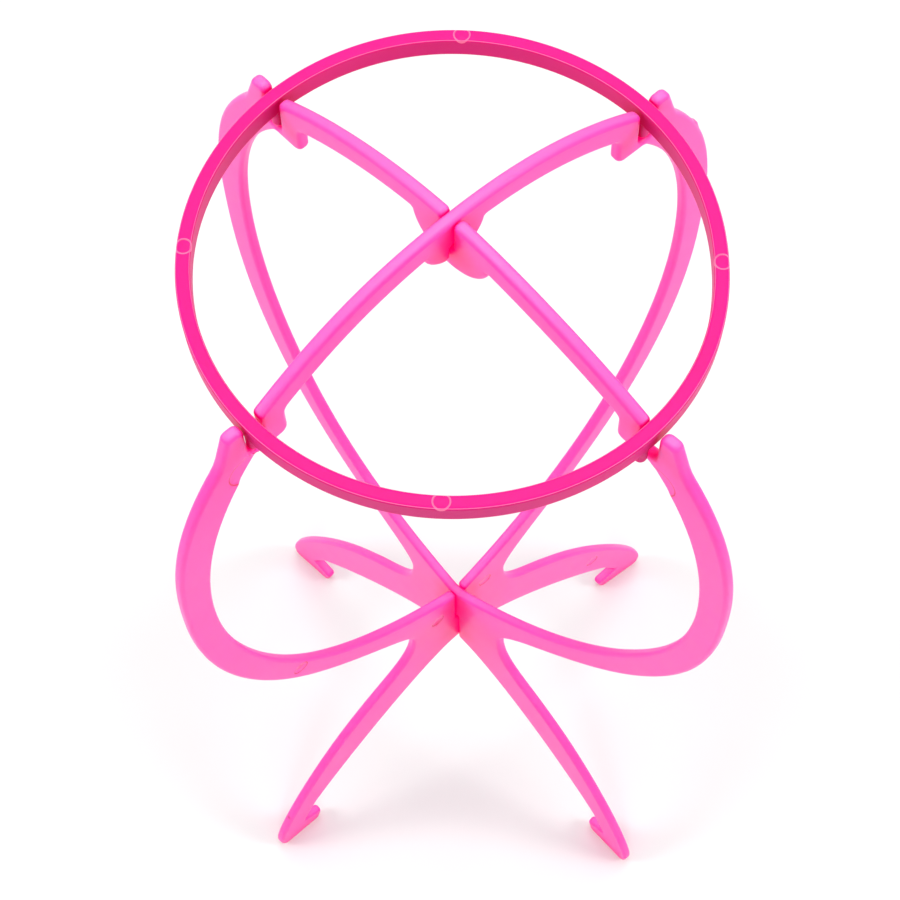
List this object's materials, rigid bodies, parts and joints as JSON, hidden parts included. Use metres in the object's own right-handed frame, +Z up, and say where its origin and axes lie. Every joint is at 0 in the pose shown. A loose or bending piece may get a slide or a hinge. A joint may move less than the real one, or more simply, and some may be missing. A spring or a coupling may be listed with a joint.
{
  "type": "wig stand",
  "caption": "Take-apart stand for a wig or a hat: crossing flat plastic frames with bowed arms and hooked legs, and a loose ring in notches at their shoulders.",
  "frame": {"origin": "on the stand's axis, where the frames cross, at the level of the soles", "axes": "+Z up along the axis; the frames stand upright along the diagonals, each 46.4 degrees off the Y axis; -Y is the side the picture is taken from"},
  "size_m": [0.1312, 0.1252, 0.341],
  "materials": {
    "pink_plastic": "satin, slightly translucent",
    "rose_plastic": "satin, slightly translucent"
  },
  "bodies": {
    "stand": {"outer_frame": "pink_plastic", "inner_frame": "pink_plastic"},
    "ring": {"head_ring": "rose_plastic"}
  },
  "joints": [
    {"name": "ring_lift", "type": "slide", "parent": "stand", "child": "ring", "axis": [0, 0, 1], "range_m": [0, 0.06]}
  ]
}
